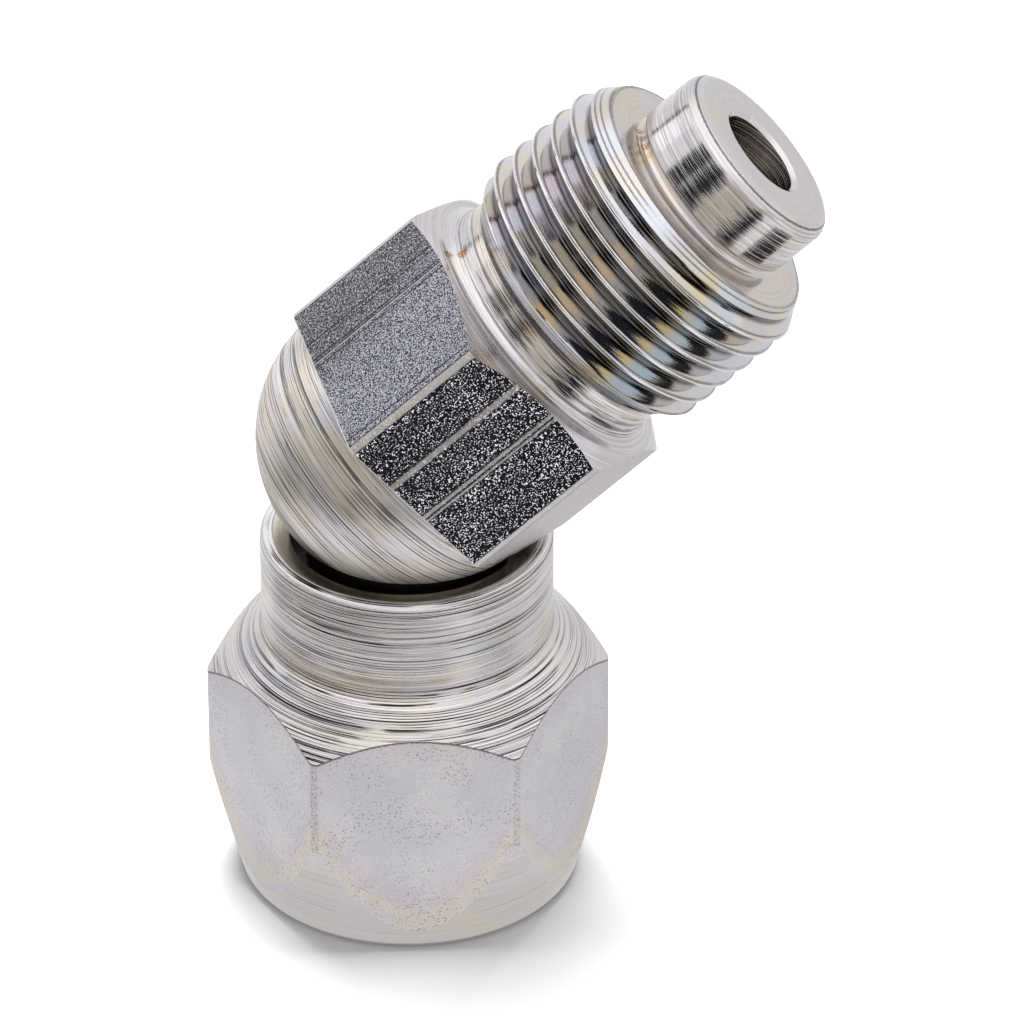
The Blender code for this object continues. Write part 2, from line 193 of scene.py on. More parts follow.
def to_object(name, bm):
    mesh = bpy.data.meshes.new(name)
    bm.to_mesh(mesh)
    bm.free()
    obj = bpy.data.objects.new(name, mesh)
    bpy.context.scene.collection.objects.link(obj)
    return obj


def carve(obj, tool, operation):
    """Exact Boolean with a tool, applied at once; the tool is then thrown away."""
    modifier = obj.modifiers.new("carve", "BOOLEAN")
    modifier.operation = operation
    modifier.object = tool
    modifier.solver = "EXACT"
    bpy.context.view_layer.update()
    evaluated = obj.evaluated_get(bpy.context.evaluated_depsgraph_get())
    mesh = bpy.data.meshes.new_from_object(evaluated)
    obj.modifiers.clear()
    obj.data = mesh
    bpy.data.objects.remove(tool)


def soften(obj, width, keep_sharp):
    """Rounds the sharp edges a little, except those that keep_sharp names by their middle."""
    bm = bmesh.new()
    bm.from_mesh(obj.data)
    bmesh.ops.remove_doubles(bm, verts=bm.verts, dist=1e-4)
    edges = []
    for edge in bm.edges:
        if len(edge.link_faces) != 2 or edge.calc_face_angle() < math.radians(20):
            continue
        middle = (edge.verts[0].co + edge.verts[1].co) / 2
        if not keep_sharp(middle):
            edges.append(edge)
    bmesh.ops.bevel(bm, geom=edges, offset=width, affect="EDGES", segments=2, profile=0.5,
                    material=-1, clamp_overlap=True)
    bm.to_mesh(obj.data)
    bm.free()


def dress(obj, body, finishes, choose, place, sharp=12):
    """Gives the faces their finishes, puts the mesh in place in metres and rides it on a body."""
    mesh = obj.data
    mesh.materials.clear()
    for finish in finishes:
        mesh.materials.append(finish)
    if choose:
        for polygon in mesh.polygons:
            polygon.material_index = choose(polygon.center, polygon.normal)
    mesh.transform(Matrix.Scale(MM, 4) @ place)
    mesh.shade_smooth()
    mesh.set_sharp_from_angle(angle=math.radians(sharp))
    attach(obj, body)


class Signal:
    """An output socket whose arithmetic adds Math nodes."""

    def __init__(self, finish, socket):
        self.finish = finish
        self.socket = socket

    def math(self, operation, *others):
        sockets = dict(enumerate((self, *others)))
        return self.finish.add("ShaderNodeMath", {"operation": operation}, sockets)

    def __add__(self, other):
        return self.math("ADD", other)

    def __radd__(self, other):
        return self.math("ADD", other)

    def __sub__(self, other):
        return self.math("SUBTRACT", other)

    def __rsub__(self, other):
        return self.finish.add("ShaderNodeMath", {"operation": "SUBTRACT"}, {0: other, 1: self})

    def __mul__(self, other):
        return self.math("MULTIPLY", other)

    def __rmul__(self, other):
        return self.math("MULTIPLY", other)

    def __truediv__(self, other):
        return self.math("DIVIDE", other)


class Finish:
    """A material whose nodes are added through one method."""

    def __init__(self, name, tree=None):
        if tree is None:
            self.material = bpy.data.materials.new(name)
            self.material.use_nodes = True
            tree = self.material.node_tree
        self.tree = tree
        self.shader = tree.nodes.get("Principled BSDF")

    def add(self, kind, settings=None, inputs=None, output=0):
        node = self.tree.nodes.new(kind)
        for key, value in (settings or {}).items():
            if key == "stops":
                ramp = node.color_ramp
                ramp.elements.remove(ramp.elements[1])
                ramp.elements[0].position = value[0][0]
                ramp.elements[0].color = (*value[0][1], 1.0)
                for place, colour in value[1:]:
                    ramp.elements.new(place).color = (*colour, 1.0)
            else:
                setattr(node, key, value)
        for key, value in (inputs or {}).items():
            self.plug(node.inputs[key], value)
        return Signal(self, node.outputs[output])

    def plug(self, socket, value):
        if isinstance(value, Signal):
            self.tree.links.new(value.socket, socket)
        elif isinstance(value, tuple) and len(value) == 3 and socket.type == "RGBA":
            socket.default_value = (*value, 1.0)
        else:
            socket.default_value = value

    def own(self, **values):
        for name, value in values.items():
            self.plug(self.shader.inputs[name.replace("_", " ")], value)

    def local(self, origin, lean):
        """Coordinates in millimetres in a turned piece's own frame."""
        point = self.add("ShaderNodeTexCoord", output=3)
        moved = self.add("ShaderNodeMapping", {"vector_type": "TEXTURE"},
                         {"Vector": point, "Location": tuple(v * MM for v in origin),
                          "Rotation": (0, lean, 0), "Scale": (MM, MM, MM)})
        return [self.add("ShaderNodeSeparateXYZ", None, {"Vector": moved}, i) for i in range(3)]

    def vector(self, x, y, z):
        return self.add("ShaderNodeCombineXYZ", None, {"X": x, "Y": y, "Z": z})

    def noise(self, where, scale, detail, roughness):
        return self.add("ShaderNodeTexNoise", {"noise_dimensions": "3D"},
                        {"Vector": where, "Scale": scale, "Detail": detail,
                         "Roughness": roughness})

    def step(self, value, low, high):
        """0 below low, 1 above high and smooth between; low may be above high."""
        return self.add("ShaderNodeMapRange", {"interpolation_type": "SMOOTHSTEP"},
                        {"Value": value, "From Min": low, "From Max": high})

    def mix(self, factor, first, second):
        return self.add("ShaderNodeMix", {"data_type": "RGBA"}, {0: factor, 6: first, 7: second}, 2)

    def bump(self, height, distance):
        """Bump of a height signal that stands for this many millimetres."""
        return self.add("ShaderNodeBump", None,
                        {"Height": height, "Distance": distance * MM, "Strength": 1.0})


LILAC = (0.66, 0.64, 0.655)
CREAM = (0.70, 0.655, 0.53)
PINK = (0.68, 0.60, 0.605)
SKY = (0.57, 0.62, 0.70)
TAN = (0.70, 0.60, 0.45)
OLIVE = (0.60, 0.57, 0.45)
RUST = (0.36, 0.15, 0.06)
SOOT = (0.035, 0.035, 0.045)
NUT_CENTRE = (AXIS_X, 0, 0)
ELBOW_CENTRE = (AXIS_X, 0, CROSSING)


def plating_colour(f, where, cream):
    """Pale zinc with the faint yellow, pink and blue of its clear passivation."""
    tint = f.noise(where, 0.22, 3.0, 0.55)
    beside = f.add("ShaderNodeVectorMath", {"operation": "ADD"}, {0: where, 1: (31.0, 7.0, 13.0)})
    other_tint = f.noise(beside, 0.35, 3.0, 0.55)
    colour = f.mix(f.step(tint, 0.50, 0.72) * cream, LILAC, CREAM)
    colour = f.mix(f.step(other_tint, 0.52, 0.72) * 0.45, colour, PINK)
    return f.mix(f.step(other_tint, 0.48, 0.28) * 0.5, colour, SKY)


def spot(f, coordinates, centre, radius, soft=0.6):
    """1 inside a small blotch round a point of the piece, fading out at its edge."""
    x, y, z = coordinates
    dx, dy, dz = x - centre[0], y - centre[1], z - centre[2]
    distance = (dx * dx + dy * dy + dz * dz).math("SQRT")
    return f.step(distance, radius, radius * (1 - soft))


def turned_finish(name, origin, lean, roughness, depth, scale, coarse, dark, cream, breaks=4,
                  even=0.0, metal=1.0, centre=None, warm=None, keen=None, dish=False, spots=(),
                  black_line_patches=(), rings=()):
    """Turned and plated steel: cutting lines run round the axis in fine and coarse bands.

    Depth and scale are how high and how many the fine lines are, coarse is the height of the
    wide bands, dark the black in the cuts, cream the yellow tint, breaks how often a line is
    interrupted, and even how far the lines also cover the calm patches. With a centre the
    lines follow the ball about that height. Warm is a stretch along the axis, as (low, high),
    that has a tan bloom. Keen gives how strong the lines are, as (place along the axis,
    strength) pairs. Dish is for the nut: a calm olive recess in its rim, a painted highlight
    along the top of the rim, colour a little darker towards the foot, painted contact shade
    along the lowest edge, and lines made stronger towards the front as a painted stand-in
    for the ball's dark reflection. Spots are blotches of another colour, in the
    black_line_patches the lines are black, and rings are thin dark ragged lines along edges,
    as (place along the axis, least radius, half width).
    """
    f = Finish(name)
    x, y, s = f.local(origin, lean)
    r = (x * x + y * y).math("SQRT")
    travel = s - r * LINE_LEAN if centre is None else r.math("ARCTAN2", s - centre) * BALL_RADIUS
    ux, uy = x / r, y / r
    fine = f.noise(f.vector(ux * 0.25, uy * 0.25, travel * scale), 1.0, 2.0, 0.6)
    wide = f.noise(f.vector(ux * 0.15, uy * 0.15, travel * scale * 0.21), 1.0, 1.0, 0.5)
    broken = f.noise(f.vector(ux * breaks, uy * breaks, travel * scale * 0.9), 1.0, 2.0, 0.6)
    patch = f.noise(f.vector(ux * 2.2, uy * 2.2, travel * 0.30), 1.0, 2.0, 0.5)
    grain = f.noise(f.vector(x, y, s), 9.0, 2.0, 0.6)
    colour = plating_colour(f, f.vector(x, y, s), cream)
    if warm:
        bloom = f.step(s, warm[0] - 0.5, warm[0] + 0.5) * f.step(s, warm[1] + 0.5, warm[1] - 0.5)
        colour = f.mix(bloom * f.step(patch, 0.42, 0.58) * 0.5, colour, TAN)
    strength = 1.0
    if keen:
        stops = [(place / KEEN_REACH, (amount,) * 3) for place, amount in keen]
        strength = f.add("ShaderNodeValToRGB", {"stops": stops}, {"Fac": s / KEEN_REACH})
    if dish:
        calm = f.step(r, RIDGE_RADIUS - 0.05, RIDGE_RADIUS - 0.25)
        calm = calm * f.step(s, RIM - 0.6, RIM - 0.4)
        colour = f.mix(calm * 0.9, colour, OLIVE)
        # Painted highlight: the top of the rim, with its ridge, is painted near white.
        colour = f.mix(f.step(s, RIM - 0.12, RIM - 0.05) * 0.8, colour, (0.97, 0.96, 0.95))
        # Painted reflection: the lines are made stronger towards the front, standing in for the
        # ball's dark reflection; in the calm recess they are weaker.
        strength = strength * (1 - calm * 0.85) * (f.step(uy, -0.1, -0.8) * 0.55 + 0.45)
        outside = f.step(r, 11.4, 11.6)
        foot = f.step(s, 12.0, 5.0) * outside
        colour = f.mix(foot * 0.20, colour, (0.66, 0.62, 0.58))
        # Painted contact shade: a dark line along the lowest edge of the skirt.
        colour = f.mix(f.step(s, 0.50, 0.26) * outside * 0.85, colour, (0.12, 0.10, 0.10))
    covered = f.step(patch + (wide - 0.5) * 0.8, 0.32 - even, 0.48 - even)
    cuts = f.step(fine + (broken - 0.5) * 0.28, 0.55, 0.585) * covered * strength
    black_lines = f.step(fine + (broken - 0.5) * 0.2, 0.44, 0.54) if black_line_patches else None
    # In these patches the cutting lines are black; on the ball they are a painted dark reflection.
    for place, size in black_line_patches:
        cuts = cuts.math("MAXIMUM", spot(f, (x, y, s), place, size, 0.9) * black_lines)
    colour = f.mix(cuts * dark, colour, SOOT)
    crests = f.step(fine + (broken - 0.5) * 0.30, 0.43, 0.37) * strength
    colour = f.mix(crests * 0.65, colour, (0.92, 0.90, 0.89))
    for place, least, half in rings:
        edge = f.step((s - place + (grain - 0.5) * 0.12).math("ABSOLUTE"), half, half * 0.4)
        colour = f.mix(edge * f.step(r, least - 0.05, least) * 0.75, colour, SOOT)
    for place, size, tone, amount in spots:
        blotch = spot(f, (x, y, s), place, size) * f.step(grain, 0.36, 0.54)
        colour = f.mix(blotch * amount, colour, tone)
    height = (fine + wide * coarse + broken * 0.10 - cuts * dark * 0.2) * strength
    f.own(Base_Color=colour, Metallic=metal, Roughness=f.step(patch, 0.3, 0.7) * 0.06 + roughness,
          Normal=f.bump(height, depth))
    return f.material


def thread_finish():
    """Bright rolled-looking thread with faint oil-film colours and specks in its valleys, with a
    painted highlight on its crests, painted yellow and blue reflections on its flanks and painted
    shade in its roots.
    """
    f = Finish("bright_thread")
    x, y, s = f.local(ELBOW_CENTRE, LEAN)
    r = (x * x + y * y).math("SQRT")
    ux, uy = x / r, y / r
    turn = y.math("ARCTAN2", x) * (THREAD_PITCH / math.tau)
    fine = f.noise(f.vector(ux * 0.3, uy * 0.3, (s - turn) * 5.0 + r * 3.0), 1.0, 2.0, 0.6)
    film = f.noise(f.vector(ux * 1.7, uy * 1.7, s * 0.12), 1.0, 2.0, 0.5)
    grain = f.noise(f.vector(x, y, s), 7.0, 3.0, 0.7)
    film_tint = f.add("ShaderNodeValToRGB", {"stops": [
        (0.30, (0.64, 0.66, 0.71)), (0.44, (0.67, 0.67, 0.70)), (0.52, (0.72, 0.68, 0.60)),
        (0.60, (0.69, 0.64, 0.66)), (0.70, (0.63, 0.66, 0.72))]}, {"Fac": film})
    phase = ((s - turn) / THREAD_PITCH + 0.5).math("FRACT") - 0.5
    aside = phase.math("ABSOLUTE") * THREAD_PITCH + (grain - 0.5) * 0.10
    specks = f.step(grain, 0.64, 0.70)
    colour = f.mix(specks * 0.55, film_tint, (0.10, 0.07, 0.05))
    # Painted highlight: the crests are painted near white.
    crest_highlight = f.step(r, THREAD_RADIUS - 0.10, THREAD_RADIUS - 0.02)
    colour = f.mix(crest_highlight * 0.5, colour, (0.92, 0.91, 0.92))
    # Painted reflections: yellow and blue bands on the flanks at fixed angles round the axis.
    angle = y.math("ARCTAN2", x) * (180 / math.pi)
    flank = f.step(r, THREAD_RADIUS - 0.12, THREAD_RADIUS - 0.2)
    angle = angle + (film - 0.5) * 30
    yellow = f.step((angle + 88).math("ABSOLUTE"), 9, 1) * flank
    blue = f.step((angle + 75).math("ABSOLUTE"), 12, 3) * flank
    colour = f.mix(yellow * 0.60, colour, (0.72, 0.60, 0.32))
    colour = f.mix(blue * 0.45, colour, (0.52, 0.62, 0.68))
    # Painted shade: the roots of the thread are painted dark.
    root_shade = f.step(aside, THREAD_PITCH / 2 - ROOT_HALF - 0.20, THREAD_PITCH / 2 - ROOT_HALF)
    lip = f.step((aside - CREST_HALF - 0.05).math("ABSOLUTE"), 0.09, 0.03)
    lip = lip * f.step(film, 0.25, 0.50)
    colour = f.mix(root_shade * 0.78, colour, SOOT)
    colour = f.mix(lip * 0.62, colour, SOOT)
    height = fine * 0.35 + grain * 0.10
    f.own(Base_Color=colour, Metallic=1.0, Roughness=0.07, Normal=f.bump(height, 0.03))
    return f.material


# Marks of drawing on the elbow's flats, as (flat, place across it, half width): dark lines,
# and real ridges with a painted highlight on top and painted shade at one foot
DRAWN_LINES = (
    (0, -3.30, 0.08), (0, -2.95, 0.05), (0, -1.90, 0.08), (0, -1.25, 0.07), (0, 5.55, 0.09),
    (1, -5.35, 0.07), (1, -2.66, 0.05), (1, -2.00, 0.06), (1, 0.72, 0.06), (1, 1.16, 0.05),
    (1, 1.46, 0.06), (3, 1.7, 0.09), (4, -2.1, 0.08), (5, 2.9, 0.09))
DRAWN_RIDGES = (
    (1, -2.33, 0.30), (1, 0.94, 0.17), (1, 1.31, 0.12), (0, -1.57, 0.09), (3, -3.0, 0.18),
    (4, 2.3, 0.15))


def bar_flat_finish():
    """Flats of the drawn bar: a grainy skin, dark between bright grains, with drawing lines; each
    flat is painted paler or darker, as painted light and shade.
    """
    f = Finish("drawn_bar_flats")
    x, y, s = f.local(ELBOW_CENTRE, LEAN)
    point = f.vector(x, y, s)
    speckle = f.noise(point, 9.6, 0.0, 0.5)
    fine = f.noise(point, 10.0, 1.0, 0.5)
    cloud = f.noise(point, 0.30, 2.0, 0.5)
    lines_dark = None
    painted_ridge_highlights = None
    base_face = math.degrees(ELBOW_TURN) + 30
    across = {}
    facing = {}
    for k in range(6):
        turn = math.radians(base_face + 60 * k)
        outward = x * math.cos(turn) + y * math.sin(turn)
        facing[k] = f.step(outward, ELBOW_FLATS / 2 - 0.25, ELBOW_FLATS / 2 - 0.10)
        across[k] = y * math.cos(turn) - x * math.sin(turn)
    wander = (cloud - 0.5) * 0.25
    for k, place, width in DRAWN_LINES:
        line = f.step((across[k] - place + wander).math("ABSOLUTE"), width, 0.0) * facing[k]
        lines_dark = line if lines_dark is None else lines_dark.math("MAXIMUM", line)
    for k, place, width in DRAWN_RIDGES:
        line = f.step((across[k] - place).math("ABSOLUTE"), width, width * 0.35) * facing[k]
        painted_ridge_highlights = line if painted_ridge_highlights is None else painted_ridge_highlights.math("MAXIMUM", line)
        # Painted shade: a dark line at one foot of each ridge.
        foot = f.step((across[k] - place + width * 1.25).math("ABSOLUTE"), 0.07, 0.0) * facing[k]
        lines_dark = lines_dark.math("MAXIMUM", foot)
    # Painted light and shade by face: flats 0, 3 and 5 get the pale skin, flat 4 half of it, flat 1
    # the dark skin, and flat 2 a light colour of its own.
    pale = facing[0] + facing[3] + facing[5] + facing[4] * 0.5
    shade = f.step(across[0] + s * 0.22, 2.2, -1.5) * facing[0]
    bright = f.step(speckle + (fine - 0.5) * 0.25 + (cloud - 0.5) * 0.12, 0.62, 0.67)
    dotted = f.step(fine + (speckle - 0.5) * 0.3, 0.45, 0.56)
    painted_dark_face_skin = f.mix(bright, (0.024, 0.024, 0.033), (0.94, 0.95, 0.98))
    painted_pale_face_skin = f.mix(dotted, (0.065, 0.067, 0.085), (0.62, 0.63, 0.70))
    shaded_skin = f.mix(bright, (0.05, 0.05, 0.06), (0.60, 0.60, 0.62))
    painted_pale_face_skin = f.mix(shade * 0.55, painted_pale_face_skin, shaded_skin)
    colour = f.mix(pale, painted_dark_face_skin, painted_pale_face_skin)
    # Painted light: flat 2 is painted light.
    colour = f.mix(facing[2], colour, f.mix(dotted, (0.62, 0.60, 0.62), (0.80, 0.76, 0.78)))
    # Painted highlight on the ridge tops.
    colour = f.mix(painted_ridge_highlights * 0.85, colour, (0.62, 0.60, 0.60))
    colour = f.mix(lines_dark * 0.85, colour, (0.03, 0.03, 0.035))
    r = (x * x + y * y).math("SQRT")
    inside = f.step(r, ELBOW_CORNER_START + 0.03, ELBOW_CORNER_START)
    rim = f.step(r, ELBOW_CORNER_START - 0.03, ELBOW_CORNER_START) * inside
    colour = f.mix(rim * 0.8, colour, (0.04, 0.04, 0.05))
    colour = f.mix(1 - inside, colour, (0.70, 0.68, 0.68))
    edge = f.step(s, HEX_BACK + 0.05, HEX_BACK + 0.12)
    colour = f.mix(1 - edge, colour, (0.84, 0.82, 0.82))
    height = speckle * 0.6 + fine * 0.25 - lines_dark * 0.5 + painted_ridge_highlights * 0.6
    f.own(Base_Color=colour, Metallic=1 - bright * facing[1] * 0.9, Roughness=0.44 - bright * 0.12,
          Normal=f.bump(height, 0.07))
    return f.material


def nut_flat_finish():
    """Flats of the nut: smooth matt plating with tiny pits, tinted along the turned edges."""
    f = Finish("matt_nut_flats")
    x, y, z = f.local(NUT_CENTRE, 0)
    point = f.vector(x, y, z)
    r = (x * x + y * y).math("SQRT")
    pits = f.noise(point, 8.0, 2.0, 0.6)
    fine = f.noise(point, 14.0, 2.0, 0.6)
    cloud = f.noise(point, 0.22, 2.0, 0.5)
    bend = f.noise(f.vector(x * 0.5, y * 0.5, z), 0.35, 2.0, 0.5)
    broken = f.noise(point, 0.9, 2.0, 0.5)
    colour = f.mix(f.step(cloud, 0.36, 0.64), (0.70, 0.695, 0.745), (0.77, 0.755, 0.78))
    cone = z * math.tan(SKIRT_SLOPE) + SKIRT_RADIUS
    wave = f.noise(point, 0.75, 3.0, 0.6)
    margin = cone - r + (wave - 0.5) * 0.9
    under = SHOULDER_CORNER + NUT_FLATS / math.sqrt(3) - z - r
    cream = f.step(margin, 0.02, 0.12) * f.step(margin, 0.80, 0.35)
    pink = f.step(margin, 0.35, 0.60) * f.step(margin, 1.10, 0.75)
    colour = f.mix(cream * 0.65, colour, (0.79, 0.73, 0.60))
    colour = f.mix(pink * 0.40, colour, (0.72, 0.62, 0.66))
    colour = f.mix(f.step(under, 1.2, 0.2) * 0.30, colour, (0.72, 0.65, 0.64))
    speck_zone = f.noise(point, 0.30, 2.0, 0.6)
    dots = f.add("ShaderNodeTexVoronoi", None, {"Vector": point, "Scale": 3.8})
    reach = f.step(speck_zone, 0.36, 0.60) * 0.16 + 0.10
    deep = f.step(dots / reach, 1.2, 0.6)
    colour = f.mix(f.step(fine, 0.42, 0.60) * 0.46, colour, (0.44, 0.42, 0.46))
    colour = f.mix(deep * 0.60, colour, (0.24, 0.20, 0.18))
    scratch = f.step((bend - 0.5).math("ABSOLUTE"), 0.0035, 0.0) * f.step(broken, 0.52, 0.60)
    colour = f.mix(scratch * 0.35, colour, (0.30, 0.27, 0.26))
    worn = f.step(r, NUT_CORNER_START, NUT_CORNER_START + 0.05) * f.step(pits, 0.50, 0.57)
    colour = f.mix(worn * 0.6, colour, (0.25, 0.22, 0.21))
    outline = f.step(under + (pits - 0.5) * 0.30, 0.20, 0.11)
    colour = f.mix(outline * 0.8, colour, (0.08, 0.07, 0.08))
    height = fine * 0.45 + pits * 0.3 + cloud * 0.4 - deep * 0.5 - scratch * 0.3
    f.own(Base_Color=colour, Metallic=0.85, Roughness=0.40, Normal=f.bump(height, 0.06))
    return f.material


def plain_finish(name, colour, roughness, metallic, origin=NUT_CENTRE, grain=0.03):
    """Small inner pieces: an even colour with a fine turned or moulded grain."""
    f = Finish(name)
    x, y, z = f.local(origin, 0)
    r = (x * x + y * y).math("SQRT")
    lines = f.noise(f.vector(x / r, y / r, (z + r * 0.8) * 6.0), 1.0, 2.0, 0.5)
    cloud = f.noise(f.vector(x, y, z), 0.8, 2.0, 0.5)
    darker = tuple(c * 0.72 for c in colour)
    f.own(Base_Color=f.mix(f.step(cloud, 0.3, 0.7) * 0.5, colour, darker), Metallic=metallic,
          Roughness=roughness, Normal=f.bump(lines, grain))
    return f.material


def polar(angle, radius, height):
    """Point of a turned piece from its angle in degrees, its radius and its height."""
    turn = math.radians(angle)
    return (radius * math.cos(turn), radius * math.sin(turn), height)


ELBOW_SPOTS = (
    (polar(192.6, 10.4, 13.7), 0.50, RUST, 0.95),
    (polar(193, 9.75, 14.4), 0.55, RUST, 0.95),
    (polar(176, 6.95, 29.0), 0.50, RUST, 0.85),
    (polar(184, 6.9, 29.1), 0.55, RUST, 0.85),
    (polar(192, 6.8, 29.2), 0.55, RUST, 0.85),
    (polar(200, 6.8, 29.3), 0.45, (0.60, 0.36, 0.12), 0.8),
    (polar(181, 7.1, 32.6), 0.38, (0.62, 0.42, 0.20), 0.7),
)
# Painted dark reflection on the ball: streaks where its cutting lines are painted black, as
# (centre, size).
BALL_DARK_REFLECTION_STREAKS = (
    (polar(253, 10.8, -1.8), 1.9),
    (polar(262, 10.95, -0.9), 1.6),
    (polar(229, 9.2, -5.6), 1.8),
)
# Patches of the neck where the cutting lines are black, as (centre, size).
NECK_BLACK_LINE_PATCHES = (
    (polar(296, 9.8, 14.3), 1.3),
    (polar(308, 9.8, 14.3), 1.5),
    (polar(320, 9.8, 14.3), 1.3),
)
NOSE_KEEN = ((28.0, 0.45), (28.7, 0.20), (29.8, 0.30), (30.4, 1.0), (33.6, 1.0), (34.2, 0.12))
NOSE_RINGS = ((34.10, 6.6, 0.07), (28.84, 9.5, 0.06), (29.80, 7.0, 0.05))
NUT_RINGS = ((27.72, 10.2, 0.06),)
NUT_KEEN = ((0.0, 0.10), (13.0, 0.15), (16.5, 1.3), (20.8, 1.2), (22.0, 0.7), (26.5, 1.2))
turned_zinc = turned_finish(
    "turned_zinc", ELBOW_CENTRE, LEAN, roughness=0.08, depth=0.030, scale=5.5, coarse=0.25,
    dark=0.35, cream=0.5, keen=NOSE_KEEN, warm=(28.6, 29.6), spots=ELBOW_SPOTS, rings=NOSE_RINGS)
neck_zinc = turned_finish(
    "turned_neck_zinc", ELBOW_CENTRE, LEAN, roughness=0.10, depth=0.06, scale=4.2, coarse=0.4,
    dark=0.60, cream=0.5, warm=(15.4, 17.2), spots=ELBOW_SPOTS, black_line_patches=NECK_BLACK_LINE_PATCHES)
ball_zinc = turned_finish(
    "turned_ball_zinc", ELBOW_CENTRE, LEAN, roughness=0.35, depth=0.045, scale=8.0, coarse=0.12,
    dark=0.80, cream=0.4, even=0.14, metal=0.75, centre=BALL_OFFSET, warm=(-12.0, 1.2),
    black_line_patches=BALL_DARK_REFLECTION_STREAKS)
nut_zinc = turned_finish(
    "turned_nut_zinc", NUT_CENTRE, 0, roughness=0.20, depth=0.070, scale=7.4, coarse=0.22,
    dark=0.95, cream=0.65, breaks=1.5, warm=(20.0, 22.5), dish=True, rings=NUT_RINGS,
    keen=NUT_KEEN)
bright_thread = thread_finish()
bar_flats = bar_flat_finish()
nut_flats = nut_flat_finish()
bore_steel = plain_finish("bored_steel", (0.30, 0.27, 0.25), 0.30, 1.0, ELBOW_CENTRE, 0.10)
port_steel = plain_finish("port_steel", (0.42, 0.41, 0.42), 0.34, 1.0, NUT_CENTRE, 0.08)


def thread_section(low, high, outer, depth):
    """One side of a 60 degree thread as (radius, height) points, crests on whole pitches."""
    flank = THREAD_PITCH / 2 - CREST_HALF - ROOT_HALF
    shape = [(-CREST_HALF, 0.03), (-0.75 * CREST_HALF, 0.0), (-0.3 * CREST_HALF, 0.012),
             (0.3 * CREST_HALF, 0.012), (0.75 * CREST_HALF, 0.0), (CREST_HALF, 0.03)]
    shape += [(CREST_HALF + flank * i / 7, depth * i / 7) for i in range(1, 7)]
    shape += [(CREST_HALF + flank, depth * 0.97), (THREAD_PITCH / 2, depth)]
    shape += [(THREAD_PITCH - CREST_HALF - flank, depth * 0.97)]
    shape += [(THREAD_PITCH - CREST_HALF - flank * i / 7, depth * i / 7) for i in range(6, 0, -1)]
    points = []
    first = math.floor(low / THREAD_PITCH) - 2
    last = math.ceil(high / THREAD_PITCH) + 1
    for turn in range(first, last + 1):
        points += [(outer - fall, turn * THREAD_PITCH + place) for place, fall in shape]
    return points + [(outer - 0.03, (last + 1) * THREAD_PITCH - CREST_HALF)]


def cut_to_length(bm, low, high):
    """Cuts a thread off square at both ends."""
    for height, up in ((low, False), (high, True)):
        bmesh.ops.bisect_plane(bm, geom=bm.verts[:] + bm.edges[:] + bm.faces[:], dist=1e-5,
                               plane_co=(0, 0, height), plane_no=(0, 0, 1),
                               clear_outer=up, clear_inner=not up)


def limit_radius(bm, limit, keep_inside):
    """Moves the points of a thread that pass a radius at their height back onto it."""
    for vert in bm.verts:
        radius = math.hypot(vert.co.x, vert.co.y)
        wanted = min(radius, limit(vert.co.z)) if keep_inside else max(radius, limit(vert.co.z))
        vert.co.x *= wanted / radius
        vert.co.y *= wanted / radius


def make_elbow_thread():
    bm = spun(thread_section(THREAD_BACK, SHOULDER, THREAD_RADIUS, THREAD_DEPTH), THREAD_STEPS,
              THREAD_PITCH, closed=False)
    cut_to_length(bm, THREAD_BACK, SHOULDER)
    lead = (THREAD_RADIUS - NECK_RADIUS) / THREAD_LEAD_IN
    chamfer = (THREAD_RADIUS - SHOULDER_RADIUS) / SHOULDER_CHAMFER
    limit_radius(bm, lambda s: min(NECK_RADIUS + (s - THREAD_BACK) * lead,
                                   SHOULDER_RADIUS + (SHOULDER - s) * chamfer), True)
    rims = [e for e in bm.edges if len(e.link_faces) == 1]
    bmesh.ops.edgeloop_fill(bm, edges=rims)
    bmesh.ops.recalc_face_normals(bm, faces=bm.faces)
    return to_object("elbow_thread", bm)


def make_nut_thread():
    """The nut's inner thread as a sleeve whose outside is buried in the nut."""
    bm = spun(thread_section(0, PORT_THREAD_TOP, THREAD_RADIUS, THREAD_DEPTH), THREAD_STEPS,
              THREAD_PITCH, closed=False)
    cut_to_length(bm, 0.02, PORT_THREAD_TOP)
    limit_radius(bm, lambda z: max(PORT_SINK - 0.02 - z,
                                   PORT_SINK - 1.3 - (PORT_THREAD_TOP - z) * 2), False)
    rims = [e for e in bm.edges if len(e.link_faces) == 1]
    outward = bmesh.ops.extrude_edge_only(bm, edges=rims)
    moved = [v for v in outward["geom"] if isinstance(v, bmesh.types.BMVert)]
    for vert in moved:
        scale = (PORT_SINK + 0.12) / math.hypot(vert.co.x, vert.co.y)
        vert.co.x *= scale
        vert.co.y *= scale
    walls = [e for e in bm.edges if len(e.link_faces) == 1]
    bmesh.ops.bridge_loops(bm, edges=walls)
    bmesh.ops.recalc_face_normals(bm, faces=bm.faces)
    return to_object("nut_thread", bm)


